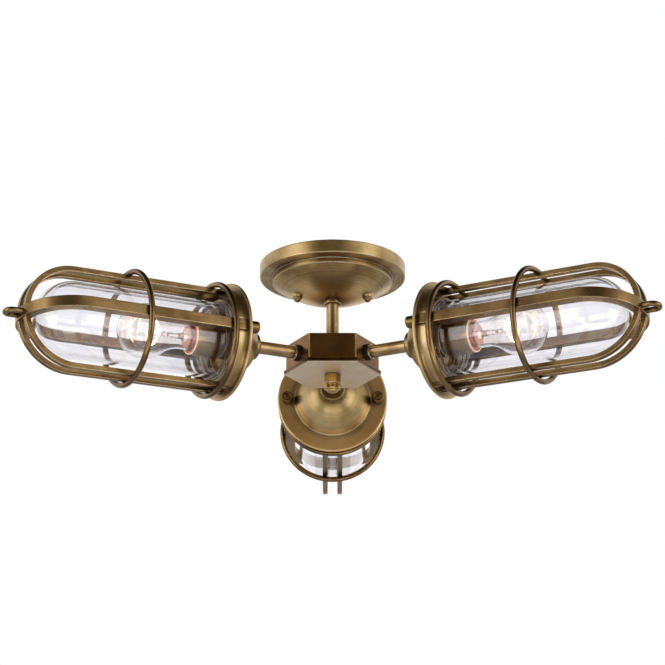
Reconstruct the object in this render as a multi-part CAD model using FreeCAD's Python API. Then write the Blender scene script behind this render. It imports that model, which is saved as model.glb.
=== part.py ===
import FreeCAD, Part
import math
import os

# Semi flush ceiling light: a stepped round canopy, a short stem, a hexagonal hub and
# three caged jar lights that reach out sideways, 120 degrees apart.
# Millimetres, +Z up. The origin is on the ceiling plane, at the middle of the canopy.
# Each light is built along +X from the hub's axis, then rolled and tipped down a little,
# lowered to the height of its arm and turned to its azimuth.

Vector = FreeCAD.Vector
ORIGIN = Vector(0, 0, 0)
X_AXIS = Vector(1, 0, 0)
Y_AXIS = Vector(0, 1, 0)
Z_AXIS = Vector(0, 0, 1)

# ---- clearances ----
turning_gap = 0.3           # between a piece that turns or slides and what it passes
screw_gap = 0.15            # round a shaft that turns in its hole, on the radius
seat_gap = 0.05             # round a fixed piece in its hole, on the radius

# ---- canopy ----
canopy_radius = 82.5
lip_height = 14.7
lip_round = 1.4
step_radius = 67.9
step_height = 6.2
dome_edge_radius = 66.4
dome_rise = 21.5
canopy_wall = 1.5

# ---- mounting plate, inside the canopy ----
plate_radius = 53.0
plate_rim_width = 2.0
plate_rim_height = 6.0
plate_thickness = 2.0
plate_boss_radius = 8.5
plate_boss_height = 7.0
slot_spacing = 88.9
slot_width = 5.0
slot_length = 8.0
earth_screw_radius = 2.0
earth_screw_head = 3.8
earth_screw_place = (18.0, 30.0)

# ---- canopy studs and their cap nuts ----
stud_spacing = 79.5
stud_radius = 2.0
cap_nut_flange = 5.5
cap_nut_radius = 4.3
cap_nut_height = 5.6
cap_nut_skirt = 1.2
stud_grip = 3.4             # how far the stud goes into its cap nut

# ---- centre rod and its nuts ----
rod_radius = 4.75
rod_bore = 3.1
nut_across_flats = 15.0
nut_height = 3.7
ceiling_gap = 0.5           # from the ceiling down to the ends of the rod and screws

# ---- stem ----
collar_radius = 9.75
collar_height = 4.0
collar_round = 1.2
stem_radius = 7.1
stem_wall = 1.6
stem_length = 49.8

# ---- hub ----
hub_across_flats = 90.8
hub_height = 28.8
hub_wall = 4.5
hub_top = 5.0
hub_edge_bevel = 1.1
base_overhang = 1.65
base_thickness = 5.0
base_spigot = 3.0
base_bevel = 0.8
finial_radius = 9.2
finial_length = 17.0
finial_round = 1.0
finial_tip_radius = 6.6
finial_tip_height = 3.6
finial_grip = 12.0          # how far the rod goes into the finial

# ---- arms ----
# Azimuth, droop below the horizontal and roll round its own arm, in degrees.
light_angles = {"back": (90.0, 2.0, 0.0), "left": (210.0, 2.4, 2.0), "right": (330.0, 1.5, -6.5)}
arm_below_hub_top = 13.5
arm_radius = 7.1
arm_wall = 1.5
gasket_radius = 9.2
gasket_thickness = 3.3
shoulder_radius = 8.4
shoulder_length = 1.8
shoulder_bevel = 0.5
arm_nut_wall = 1.4          # from the arm's thread to a flat of its nut
arm_nut_height = 4.0
arm_thread_past_nut = 1.5

# ---- cup ----
arm_reach = 98.0            # from the hub's axis to the cup's neck
neck_radius = 14.5
neck_length = 6.0
neck_bevel = 1.0
neck_boss = 10.0            # depth of solid metal round the arm's end
cup_depth = 37.0            # from the neck's end to the flange's back
cup_foot_radius = 16.5
cup_base_radius = 44.3
cup_bulge = 4.2
cup_wall = 2.5
flange_radius = 64.5
flange_thickness = 3.2
flange_round = 0.8
wall_radius = 57.5
wall_thickness = 2.0
wall_height = 10.4
wall_notch_gap = 0.6        # beside each bar that drops into the wall

# ---- glass jar ----
glass_radius = 41.5
glass_wall = 3.5
glass_length = 219.7
glass_thread_height = 1.3
glass_thread_pitch = 5.0
glass_thread_count = 3
glass_gasket_thickness = 2.0
seat_lip = 3.0              # how far the seat reaches in under the glass rim
seat_depth = 1.0            # the seat's face, in front of the flange's back
thread_collar_gap = 0.4
thread_collar_wall = 2.8
thread_collar_height = 8.8

# ---- guard cage ----
hoop_bar = 12.0             # square bar of the wide hoop
hoop_bar_round = 0.7
hoop_collar_gap = 0.5       # from the cup's thread collar to the bar
guard_tip_gap = 5.5         # from the jar's end to the inside of the hoop's tip
strip_inset = 1.5           # how far the strips lie inside the hoop's outside
strip_width = 6.0
strip_thickness = 6.0
strip_round = 0.5
strip_spacing = 18.0
ring_wire = 6.4
ring_bite = 0.35            # how deep the strips' corners are let into the rings
first_ring = 18.2           # from the flange's back
ring_spacing = 99.0
eyelet_wire = 6.0
eyelet_width = 20.0
eyelet_reach = 18.0         # from the guard's tip to the eyelet's end

# ---- thumb screws ----
thumb_head_radius = 5.8
thumb_head_length = 11.2
thumb_head_round = 0.9
thumb_radius = 2.5
thumb_grip = 12.0           # how far the screw goes into the hoop's end
thumb_outset = 1.0          # from the middle of the hoop's bar outward

# ---- socket and bulb ----
socket_radius = 18.75
socket_wall = 1.2
socket_length = 64.0        # from the arm's end to the socket's mouth
socket_back = 2.0
groove_place = 32.8         # from the socket's mouth back to its groove
groove_width = 2.0
groove_depth = 0.6
liner_length = 28.0
liner_floor = 3.0
liner_lip = 1.2
bulb_radius = 30.0
bulb_neck_radius = 14.2
bulb_shoulder = 40.0        # degrees of slope where the neck meets the ball
bulb_length = 110.0
bulb_glass_wall = 1.0
cap_radius = 13.15
cap_length = 25.0
cap_tip_length = 4.0
cap_tip_radius = 6.0
cap_thread_count = 5
stem_foot_radius = 9.0
stem_glass_radius = 3.0
stem_glass_length = 27.0
filament_place = 39.0       # from the bulb's end back to the filament
filament_radius = 14.0
filament_sweep = 250.0
filament_wire = 0.9
lead_wire = 0.8

# ---- worked out from the sizes above ----
dome_top_z = -(lip_height + step_height)
canopy_bottom_z = dome_top_z - dome_rise
dome_sphere = (dome_edge_radius ** 2 + dome_rise ** 2) / (2 * dome_rise)
stem_top_z = canopy_bottom_z - collar_height
hub_top_z = stem_top_z - stem_length
hub_bottom_z = hub_top_z - hub_height
base_bottom_z = hub_bottom_z - base_thickness
rod_bottom_z = base_bottom_z - finial_grip
arm_z = hub_top_z - arm_below_hub_top
hub_flat = hub_across_flats / 2
arm_nut_across_flats = 2 * (arm_radius + arm_nut_wall)
arm_inner_x = hub_flat - hub_wall - arm_nut_height - arm_thread_past_nut
boss_x = arm_reach + neck_boss
arm_outer_x = boss_x + arm_nut_height + arm_thread_past_nut
flange_x = arm_reach + cup_depth
flange_face_x = flange_x + flange_thickness
seat_x = flange_x + seat_depth
glass_x = seat_x + glass_gasket_thickness + turning_gap
seat_radius = glass_radius - seat_lip
thread_radius = glass_radius + glass_thread_height
thread_collar_bore = thread_radius + thread_collar_gap
thread_collar_radius = thread_collar_bore + thread_collar_wall
hoop_inner = thread_collar_radius + hoop_collar_gap
hoop_radius = hoop_inner + hoop_bar
guard_x = flange_face_x + turning_gap
guard_dome_x = glass_x + glass_length + guard_tip_gap - hoop_inner
guard_reach = guard_dome_x + hoop_radius
strip_radius = hoop_radius - strip_inset
strip_edge = (strip_spacing + strip_width) / 2
ring_inner = math.hypot(strip_radius, strip_edge) - ring_bite
ring_radius = ring_inner + ring_wire / 2
screw_circle = hoop_radius - hoop_bar / 2 + thumb_outset
socket_x = arm_outer_x
socket_mouth = socket_x + socket_length
liner_x = socket_mouth - liner_length
liner_radius = socket_radius - socket_wall - seat_gap
cap_x = liner_x + liner_floor + turning_gap
bulb_neck_x = cap_x + cap_tip_length + cap_length
bulb_end_x = cap_x + bulb_length


hexagon_half_turn = 30.0    # degrees that swap a hexagon's corners and flats


# ---- helpers ----

def outline(start, *steps):
    """A flat face in the XZ plane. A step is a point, or an arc's middle and end."""
    edges = []
    here = start
    for step in steps:
        if isinstance(step[0], tuple):
            middle, there = step
            points = [Vector(p[0], 0, p[1]) for p in (here, middle, there)]
            edges.append(Part.Arc(*points).toShape())
        else:
            there = step
            edges.append(Part.makeLine(Vector(here[0], 0, here[1]), Vector(there[0], 0, there[1])))
        here = there
    if here != start:
        edges.append(Part.makeLine(Vector(here[0], 0, here[1]), Vector(start[0], 0, start[1])))
    return Part.Face(Part.Wire(edges))


def turned(face, axis=X_AXIS):
    """The solid that a flat outline sweeps round an axis through the origin."""
    return face.revolve(ORIGIN, axis, 360)


def corner(centre, radius, angle):
    """A point on a circle, at an angle in degrees from the first direction."""
    turn = math.radians(angle)
    return (centre[0] + radius * math.cos(turn), centre[1] + radius * math.sin(turn))


def rod_along_x(start, end, radius, y=0, z=0):
    return Part.makeCylinder(radius, end - start, Vector(start, y, z), X_AXIS)


def tube_along_x(start, end, outer, inner):
    return rod_along_x(start, end, outer).cut(rod_along_x(start, end, inner))


def post(top, bottom, radius, x=0, y=0):
    return Part.makeCylinder(radius, top - bottom, Vector(x, y, bottom))


def hexagon(across_flats, turn=0):
    """A flat hexagon round Z whose flats face 30, 90, 150... degrees, plus the turn."""
    radius = across_flats / 2 / math.cos(math.pi / 6)
    points = [Vector(*corner((0, 0), radius, 60 * i + turn), 0) for i in range(6)]
    return Part.Face(Part.makePolygon(points + points[:1]))


def hex_post(top, bottom, across_flats, turn=0):
    solid = hexagon(across_flats, turn).extrude(Vector(0, 0, top - bottom))
    solid.translate(Vector(0, 0, bottom))
    return solid


def hex_along_x(start, end, across_flats):
    solid = hexagon(across_flats, hexagon_half_turn).extrude(Vector(0, 0, end - start))
    solid.rotate(ORIGIN, Y_AXIS, 90)
    solid.translate(Vector(start, 0, 0))
    return solid


def slot(x, y, width, length, top, bottom):
    """A slot's empty space, long way along Y."""
    half = (length - width) / 2
    block = Part.makeBox(width, 2 * half, top - bottom, Vector(x - width / 2, y - half, bottom))
    ends = [post(top, bottom, width / 2, x, y + side * half) for side in (-1, 1)]
    return block.fuse(ends).removeSplitter()


def rounded(solid, radius, wanted):
    """Rounds each edge that the wanted test picks."""
    edges = [edge for edge in solid.Edges if wanted(edge)]
    return solid.makeFillet(radius, edges)


def on_light(shape, light):
    """Carries a shape built along +X to its place on one arm."""
    azimuth, droop, roll = light_angles[light]
    placed = shape.copy()
    placed.rotate(ORIGIN, X_AXIS, roll)
    placed.rotate(ORIGIN, Y_AXIS, droop)
    placed.translate(Vector(0, 0, arm_z))
    placed.rotate(ORIGIN, Z_AXIS, azimuth)
    return placed


def on_each_light(shape):
    return [on_light(shape, light) for light in light_angles]


# ---- canopy and ceiling fixings ----

def dome_z(radius, sphere=dome_sphere):
    """Height of the dome's outside at a distance from the axis."""
    return canopy_bottom_z + dome_sphere - math.sqrt(sphere ** 2 - radius ** 2)


def canopy_filled(inset):
    """The canopy's outside as a filled solid, drawn in by an inset."""
    lip = canopy_radius - inset
    lip_z = -(lip_height - inset)
    curve = max(lip_round - inset, 0.1)
    step = step_radius - inset
    step_z = dome_top_z + inset
    dome = dome_edge_radius - inset
    sphere = dome_sphere - inset
    bottom = canopy_bottom_z + inset
    dome_start_z = bottom + sphere - math.sqrt(sphere ** 2 - dome ** 2)
    middle_radius = dome / 2
    middle_z = bottom + sphere - math.sqrt(sphere ** 2 - middle_radius ** 2)
    face = outline(
        (0, 0), (lip, 0), (lip, lip_z + curve),
        (corner((lip - curve, lip_z + curve), curve, -45), (lip - curve, lip_z)),
        (step, lip_z), (step, max(step_z, dome_start_z)), (dome, dome_start_z),
        ((middle_radius, middle_z), (0, bottom)))
    return turned(face, Z_AXIS)


def stud_seat_z():
    """The flat under the canopy where a cap nut bears."""
    return dome_z(stud_spacing / 2 - cap_nut_flange)


def canopy():
    shell = canopy_filled(0)
    for side in (-1, 1):
        shell = shell.fuse(post(dome_top_z, stud_seat_z(), cap_nut_flange, side * stud_spacing / 2))
    shell = shell.cut(canopy_filled(canopy_wall))
    for side in (-1, 1):
        shell = shell.cut(post(0, canopy_bottom_z, stud_radius + turning_gap, side * stud_spacing / 2))
    return shell.cut(post(0, canopy_bottom_z, rod_radius + seat_gap))


def mounting_plate():
    """Flat disc against the ceiling, with a turned down rim and a tapped middle."""
    bore = rod_radius + seat_gap
    rim = plate_radius - plate_rim_width
    face = outline(
        (bore, 0), (plate_radius, 0), (plate_radius, -plate_rim_height), (rim, -plate_rim_height),
        (rim, -plate_thickness), (plate_boss_radius, -plate_thickness),
        (plate_boss_radius, -plate_boss_height), (bore, -plate_boss_height))
    plate = turned(face, Z_AXIS)
    for side in (-1, 1):
        place = side * slot_spacing / 2
        plate = plate.cut(slot(0, place, slot_width, slot_length, 0, -plate_thickness))
        plate = plate.cut(post(0, -plate_thickness, stud_radius + seat_gap, side * stud_spacing / 2))
    x, y = earth_screw_place
    return plate.cut(post(0, -plate_thickness, earth_screw_radius + seat_gap, x, y))


def canopy_studs():
    bottom = stud_seat_z() - stud_grip
    studs = []
    for side in (-1, 1):
        x = side * stud_spacing / 2
        nut = hex_post(-plate_thickness, -plate_thickness - 2 * stud_radius, 4 * stud_radius)
        nut.translate(Vector(x, 0, 0))
        studs.append(post(-ceiling_gap, bottom, stud_radius, x).fuse(nut).removeSplitter())
    return Part.makeCompound(studs)


def cap_nut(side):
    """Round cap nut with a thin flange, hollow for the end of its stud."""
    top = stud_seat_z() - turning_gap
    skirt = top - cap_nut_skirt
    bottom = top - cap_nut_height
    dome = cap_nut_height - cap_nut_skirt
    sphere = (cap_nut_radius ** 2 + dome ** 2) / (2 * dome)
    middle = cap_nut_radius / 2
    middle_z = bottom + sphere - math.sqrt(sphere ** 2 - middle ** 2)
    face = outline((0, top), (cap_nut_flange, top), (cap_nut_flange, skirt), (cap_nut_radius, skirt),
                   ((middle, middle_z), (0, bottom)))
    nut = turned(face, Z_AXIS)
    nut = nut.cut(post(top, top - stud_grip, stud_radius + screw_gap))
    nut.translate(Vector(side * stud_spacing / 2, 0, 0))
    return nut


def earth_screw():
    """Slotted screw under the plate, for the earth wire."""
    x, y = earth_screw_place
    height = earth_screw_head / 2
    bottom = -plate_thickness - height
    head = post(-plate_thickness, bottom, earth_screw_head, x, y)
    shank = post(-ceiling_gap, -plate_thickness, earth_screw_radius, x, y)
    slot_corner = Vector(x - earth_screw_head, y - earth_screw_radius / 4, bottom)
    slot_cut = Part.makeBox(2 * earth_screw_head, earth_screw_radius / 2, height / 2, slot_corner)
    return head.fuse(shank).cut(slot_cut).removeSplitter()


def centre_rod():
    rod = post(-ceiling_gap, rod_bottom_z, rod_radius)
    return rod.cut(post(-ceiling_gap, rod_bottom_z, rod_bore))


def rod_nut(top, bottom):
    return hex_post(top, bottom, nut_across_flats).cut(post(top, bottom, rod_radius + seat_gap))


def rod_nuts():
    """One locks the rod under the plate, one presses the canopy on the collar."""
    inside_z = canopy_bottom_z + canopy_wall
    lowest = rod_nut(inside_z + nut_height, canopy_bottom_z).cut(canopy())
    lowest = lowest.cut(post(inside_z, canopy_bottom_z, nut_across_flats))
    return Part.makeCompound([rod_nut(-plate_boss_height, -plate_boss_height - nut_height), lowest])


def stem_collar():
    """Ring under the canopy, its top cut to the dome."""
    ring = post(dome_top_z, stem_top_z, collar_radius)
    ring = rounded(ring, collar_round, lambda edge: edge.BoundBox.ZMax < stem_top_z + 0.01)
    ring = ring.cut(canopy_filled(0))
    return ring.cut(post(0, stem_top_z, rod_radius + seat_gap))


def stem_tube():
    tube = post(stem_top_z, hub_top_z, stem_radius)
    return tube.cut(post(stem_top_z, hub_top_z, stem_radius - stem_wall))


# ---- hub ----

def is_upright(edge):
    return edge.BoundBox.XLength < 0.01 and edge.BoundBox.YLength < 0.01


def hub_filled():
    solid = hex_post(hub_top_z, hub_bottom_z, hub_across_flats)
    edges = [edge for edge in solid.Edges if is_upright(edge)]
    return solid.makeChamfer(hub_edge_bevel, edges)


def hub_body():
    hub = hub_filled()
    hub = hub.cut(hex_post(hub_top_z - hub_top, hub_bottom_z, hub_across_flats - 2 * hub_wall))
    hub = hub.cut(post(hub_top_z, hub_bottom_z, rod_radius + seat_gap))
    for hole in on_each_light(rod_along_x(0, arm_reach, arm_radius + screw_gap)):
        hub = hub.cut(hole)
    return hub


def hub_base_plate():
    plate = hex_post(hub_bottom_z, base_bottom_z, hub_across_flats + 2 * base_overhang)
    low = [edge for edge in plate.Edges if edge.BoundBox.ZMax < base_bottom_z + 0.01]
    plate = plate.makeChamfer(base_bevel, low)
    spigot_flats = hub_across_flats - 2 * hub_wall - 2 * turning_gap
    spigot = hex_post(hub_bottom_z + base_spigot, hub_bottom_z, spigot_flats)
    spigot = spigot.cut(hex_post(hub_bottom_z + base_spigot, hub_bottom_z, spigot_flats - 2 * hub_wall))
    plate = plate.fuse(spigot).removeSplitter()
    return plate.cut(post(hub_bottom_z, base_bottom_z, rod_radius + screw_gap))


def hub_finial():
    """Long nut with a rounded end that holds the base plate up."""
    top = base_bottom_z - turning_gap
    bottom = top - finial_length
    tip = bottom - finial_tip_height
    curve_centre = (finial_radius - finial_round, bottom + finial_round)
    tip_round = finial_tip_height - finial_round
    face = outline(
        (0, top), (finial_radius, top), (finial_radius, curve_centre[1]),
        (corner(curve_centre, finial_round, -45), (curve_centre[0], bottom)),
        (finial_tip_radius, bottom), (finial_tip_radius, bottom - finial_round),
        (corner((finial_tip_radius - tip_round, bottom - finial_round), tip_round, -45),
         (finial_tip_radius - tip_round, tip)),
        (0, tip))
    finial = turned(face, Z_AXIS)
    return finial.cut(post(top, rod_bottom_z - turning_gap, rod_radius + screw_gap))


# ---- arms ----

def arm_tube():
    """Arm with the shoulder that presses the gasket on the hub."""
    shoulder_x = hub_flat + gasket_thickness
    face = outline(
        (shoulder_x, 0), (shoulder_x, shoulder_radius),
        (shoulder_x + shoulder_length - shoulder_bevel, shoulder_radius),
        (shoulder_x + shoulder_length, shoulder_radius - shoulder_bevel),
        (shoulder_x + shoulder_length, 0))
    tube = rod_along_x(arm_inner_x, arm_outer_x, arm_radius).fuse(turned(face)).removeSplitter()
    return tube.cut(rod_along_x(arm_inner_x, arm_outer_x, arm_radius - arm_wall))


def arm_gaskets():
    ring = tube_along_x(hub_flat - 1, hub_flat + gasket_thickness, gasket_radius, arm_radius + seat_gap)
    hub = hub_filled()
    return Part.makeCompound([placed.cut(hub) for placed in on_each_light(ring)])


def arm_lock_nuts():
    inner_face = hub_flat - hub_wall
    nut = hex_along_x(inner_face - arm_nut_height, inner_face + 1, arm_nut_across_flats)
    nut = nut.cut(rod_along_x(inner_face - arm_nut_height, inner_face + 1, arm_radius + seat_gap))
    hub = hub_filled().cut(hex_post(hub_top_z, hub_bottom_z, hub_across_flats - 2 * hub_wall))
    return Part.makeCompound([placed.cut(hub) for placed in on_each_light(nut)])


def cup_nuts():
    nut = hex_along_x(boss_x, boss_x + arm_nut_height, arm_nut_across_flats)
    nut = nut.cut(rod_along_x(boss_x, boss_x + arm_nut_height, arm_radius + seat_gap))
    return Part.makeCompound(on_each_light(nut))


# ---- cup ----

def cup_dome():
    """Centre and radius of the arc of the cup's domed back."""
    foot = Vector(arm_reach + neck_length, 0, cup_foot_radius)
    base = Vector(flange_x, 0, cup_base_radius)
    chord = base - foot
    outward = Vector(-chord.z, 0, chord.x).normalize()
    radius = chord.Length ** 2 / (8 * cup_bulge) + cup_bulge / 2
    centre = (foot + base) / 2 - outward * (radius - cup_bulge)
    return centre, radius, (foot + base) / 2 + outward * cup_bulge


def cup_section():
    centre, radius, crown = cup_dome()
    inner = radius - cup_wall
    inside_foot = centre.z + math.sqrt(inner ** 2 - (boss_x - centre.x) ** 2)
    seat_back_x = centre.x - math.sqrt(inner ** 2 - (seat_radius - centre.z) ** 2)
    toward_crown = (crown - centre).normalize()
    inner_crown = centre + toward_crown * inner
    bore = arm_radius + seat_gap
    collar_x = flange_face_x + thread_collar_height
    wall_x = flange_face_x + wall_height
    foot_x = arm_reach + neck_length
    rim = flange_radius - flange_round
    return outline(
        (arm_reach, bore), (arm_reach, neck_radius - neck_bevel),
        (arm_reach + neck_bevel, neck_radius), (foot_x, neck_radius), (foot_x, cup_foot_radius),
        ((crown.x, crown.z), (flange_x, cup_base_radius)),
        (flange_x, rim),
        (corner((flange_x + flange_round, rim), flange_round, 135), (flange_x + flange_round, flange_radius)),
        (flange_face_x - flange_round, flange_radius),
        (corner((flange_face_x - flange_round, rim), flange_round, 45), (flange_face_x, rim)),
        (flange_face_x, wall_radius), (wall_x, wall_radius),
        (wall_x, wall_radius - wall_thickness), (flange_face_x, wall_radius - wall_thickness),
        (flange_face_x, thread_collar_radius), (collar_x, thread_collar_radius),
        (collar_x, thread_collar_bore), (seat_x, thread_collar_bore), (seat_x, seat_radius),
        (seat_back_x, seat_radius),
        ((inner_crown.x, inner_crown.z), (boss_x, inside_foot)),
        (boss_x, bore))


def cup():
    """Flanged cup; its wall is notched for the guard's bars and bored for the screws."""
    solid = turned(cup_section())
    length = wall_height + turning_gap
    bar = hoop_bar / 2 + wall_notch_gap
    strips = strip_edge + wall_notch_gap
    depth = wall_radius - thread_collar_radius - turning_gap
    for side in (-1, 1):
        near = thread_collar_radius + turning_gap if side > 0 else -wall_radius - turning_gap
        solid = solid.cut(Part.makeBox(length, depth + turning_gap, 2 * bar, Vector(flange_face_x, near, -bar)))
        solid = solid.cut(Part.makeBox(length, 2 * strips, depth + turning_gap,
                                       Vector(flange_face_x, -strips, near)))
        solid = solid.cut(rod_along_x(flange_x, flange_face_x, thumb_radius + screw_gap, side * screw_circle))
    return solid


def glass_gaskets():
    ring = tube_along_x(seat_x, seat_x + glass_gasket_thickness, thread_collar_bore - turning_gap,
                        seat_radius + turning_gap)
    return Part.makeCompound(on_each_light(ring))


# ---- glass jar ----

def glass_jar():
    """Thick clear jar with a domed end and rounded threads at its root."""
    end_x = glass_x + glass_length
    dome_x = end_x - glass_radius
    inner = glass_radius - glass_wall
    face = outline(
        (glass_x, inner), (glass_x, glass_radius), (dome_x, glass_radius),
        (corner((dome_x, 0), glass_radius, 45), (end_x, 0)),
        (end_x - glass_wall, 0), (corner((dome_x, 0), inner, 45), (dome_x, inner)))
    jar = turned(face)
    bead = glass_thread_height
    for turn in range(glass_thread_count):
        middle = glass_x + glass_thread_pitch * (turn + 0.7)
        ridge = outline((middle - bead, glass_radius - bead), (middle - bead, glass_radius),
                        ((middle, glass_radius + bead), (middle + bead, glass_radius)),
                        (middle + bead, glass_radius - bead))
        jar = jar.fuse(turned(ridge))
    return jar.removeSplitter()


# ---- guard cage ----

def hoop_blank(outer, inner, width):
    """A hoop that lies flat: two straight legs and a half circle round the tip."""
    tip_outer = (guard_dome_x + outer, 0)
    tip_inner = (guard_dome_x + inner, 0)
    face = outline(
        (guard_x, outer), (guard_dome_x, outer), (tip_outer, (guard_dome_x, -outer)),
        (guard_x, -outer), (guard_x, -inner), (guard_dome_x, -inner),
        (tip_inner, (guard_dome_x, inner)), (guard_x, inner))
    solid = face.extrude(Vector(0, width, 0))
    solid.translate(Vector(0, -width / 2, 0))
    return solid


def runs_along(edge):
    """Picks the long edges of a hoop, not those across its ends."""
    return edge.BoundBox.YLength < 0.01 and edge.BoundBox.XLength > 0.01


def wide_hoop_plain():
    solid = rounded(hoop_blank(hoop_radius, hoop_inner, hoop_bar), hoop_bar_round, runs_along)
    solid.rotate(ORIGIN, X_AXIS, 90)
    return solid


def wide_hoop():
    """Square bar bent to a hoop; its ends are tapped for the thumb screws."""
    solid = wide_hoop_plain()
    for side in (-1, 1):
        hole = rod_along_x(guard_x, guard_x + thumb_grip, thumb_radius + screw_gap, side * screw_circle)
        solid = solid.cut(hole)
    return solid


def guard_strips():
    """Two twin hoops of square bar, cut where the wide hoop passes between them."""
    hoop = hoop_blank(strip_radius, strip_radius - strip_thickness, strip_width)
    hoop = rounded(hoop, strip_round, runs_along)
    gap = Part.makeBox(guard_reach, 2 * hoop_radius, hoop_bar, Vector(0, -hoop_radius, -hoop_bar / 2))
    strips = []
    for side in (-1, 1):
        strip = hoop.copy()
        strip.translate(Vector(0, side * strip_spacing / 2, 0))
        strips += strip.cut(gap).Solids
    return Part.makeCompound(strips)


def guard_rings():
    """Two wire rings round the outside, let in where the bars cross them."""
    crossing = [wide_hoop_plain(), guard_strips()]
    rings = []
    for place in (flange_x + first_ring, flange_x + first_ring + ring_spacing):
        ring = Part.makeTorus(ring_radius, ring_wire / 2, Vector(place, 0, 0), X_AXIS)
        rings.append(ring.cut(crossing))
    return Part.makeCompound(rings)


def eyelet():
    """Wire loop at the guard's tip, lying flat."""
    wire = eyelet_wire / 2
    bend = eyelet_width / 2 - wire
    bend_x = guard_reach + eyelet_reach - eyelet_width / 2
    loop = Part.makeTorus(bend, wire, Vector(bend_x, 0, 0), Z_AXIS, -180, 180, 180)
    loop.rotate(Vector(bend_x, 0, 0), Z_AXIS, -90)
    foot_x = guard_reach - hoop_bar / 2
    for side in (-1, 1):
        loop = loop.fuse(rod_along_x(foot_x, bend_x, wire, side * bend))
    return loop.removeSplitter().cut(wide_hoop_plain())


def thumb_screw(side):
    """Round headed screw from behind the flange into the wide hoop's end."""
    head_x = flange_x - turning_gap
    back_x = head_x - thumb_head_length
    curve = thumb_head_round
    face = outline(
        (back_x, 0), (back_x, thumb_head_radius - curve),
        (corner((back_x + curve, thumb_head_radius - curve), curve, 135), (back_x + curve, thumb_head_radius)),
        (head_x, thumb_head_radius), (head_x, thumb_radius),
        (guard_x + thumb_grip - turning_gap, thumb_radius), (guard_x + thumb_grip - turning_gap, 0))
    screw = turned(face)
    screw.translate(Vector(0, side * screw_circle, 0))
    return screw


# ---- socket and bulb ----

def socket_shell():
    """Metal socket body with a groove, closed at the back but for the wires."""
    groove_x = socket_mouth - groove_place
    inner = socket_radius - socket_wall
    lower = socket_radius - groove_depth
    face = outline(
        (socket_x, arm_radius), (socket_x, socket_radius), (groove_x - groove_width / 2, socket_radius),
        (groove_x - groove_width / 2, lower), (groove_x + groove_width / 2, lower),
        (groove_x + groove_width / 2, socket_radius), (socket_mouth, socket_radius),
        (socket_mouth, inner), (socket_x + socket_back, inner), (socket_x + socket_back, arm_radius))
    return turned(face)


def socket_liner():
    """Threaded lining that the bulb's cap turns in, with a flat ring at the mouth."""
    bore = cap_radius + turning_gap
    lip_x = socket_mouth + liner_lip
    face = outline(
        (liner_x, 0), (liner_x, liner_radius), (socket_mouth, liner_radius),
        (socket_mouth, socket_radius), (lip_x, socket_radius), (lip_x, bulb_neck_radius + turning_gap),
        (socket_mouth, bulb_neck_radius + turning_gap), (socket_mouth, bore), (liner_x + liner_floor, bore),
        (liner_x + liner_floor, 0))
    return turned(face)


def bulb_cap():
    """Screw cap: a threaded sleeve that tapers to the contact."""
    sleeve_x = cap_x + cap_tip_length
    pitch = cap_length / (cap_thread_count + 1)
    depth = 0.5 * turning_gap + screw_gap
    steps = [(sleeve_x + pitch / 2, cap_radius - depth)]
    for crest in range(cap_thread_count):
        start_x = sleeve_x + pitch * (crest + 0.5)
        steps.append(((start_x + pitch / 2, cap_radius), (start_x + pitch, cap_radius - depth)))
    face = outline(
        (cap_x, 0), (cap_x, cap_tip_radius), (sleeve_x, cap_radius - depth), *steps,
        (bulb_neck_x, cap_radius - depth), (bulb_neck_x, 0))
    return turned(face)


def bulb_filled(inset):
    """The bulb's glass as a filled solid, drawn in by an inset."""
    ball_x = bulb_end_x - bulb_radius
    ball = bulb_radius - inset
    neck = bulb_neck_radius - inset
    slope = math.radians(bulb_shoulder)
    sweep = (bulb_radius * math.cos(slope) - bulb_neck_radius) / (1 - math.cos(slope))
    joint = corner((ball_x, 0), ball, 90 + bulb_shoulder)
    bend_x = joint[0] - (sweep + inset) * math.sin(slope)
    bend = (bend_x, neck + sweep + inset)
    return turned(outline(
        (bulb_neck_x + inset, 0), (bulb_neck_x + inset, neck), (bend_x, neck),
        (corner(bend, sweep + inset, -90 + bulb_shoulder / 2), joint),
        (corner((ball_x, 0), ball, 45), (ball_x + ball, 0))))


def bulb_glass():
    return bulb_filled(0).cut(bulb_filled(bulb_glass_wall))


def bulb_stem():
    """Glass stem, two lead wires and the filament's open ring."""
    foot_x = bulb_neck_x + bulb_glass_wall
    end_x = foot_x + stem_glass_length
    glass = turned(outline(
        (foot_x, 0), (foot_x, stem_foot_radius), (foot_x + stem_foot_radius / 2, stem_glass_radius),
        (end_x, stem_glass_radius), (end_x + stem_glass_radius / 2, 0)))
    ring_x = bulb_end_x - filament_place
    filament = Part.makeTorus(filament_radius, filament_wire / 2, ORIGIN, Z_AXIS, -180, 180, filament_sweep)
    filament.rotate(ORIGIN, Z_AXIS, 270 - filament_sweep / 2)
    filament.rotate(ORIGIN, Z_AXIS, 180)
    filament.rotate(ORIGIN, Y_AXIS, 90)
    filament.translate(Vector(ring_x, 0, 0))
    pieces = [glass, filament]
    half_gap = math.radians((360 - filament_sweep) / 2)
    for side in (-1, 1):
        foot = Vector(end_x - lead_wire, side * stem_glass_radius / 2, 0)
        tip_y = side * filament_radius * math.sin(half_gap)
        tip = Vector(ring_x, tip_y, filament_radius * math.cos(half_gap))
        pieces.append((foot, tip))
    leads = [Part.makeCylinder(lead_wire / 2, (tip - foot).Length, foot, tip - foot)
             for foot, tip in pieces[2:]]
    return glass.fuse(leads + [filament]).removeSplitter()


# ---- all nodes ----

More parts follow.
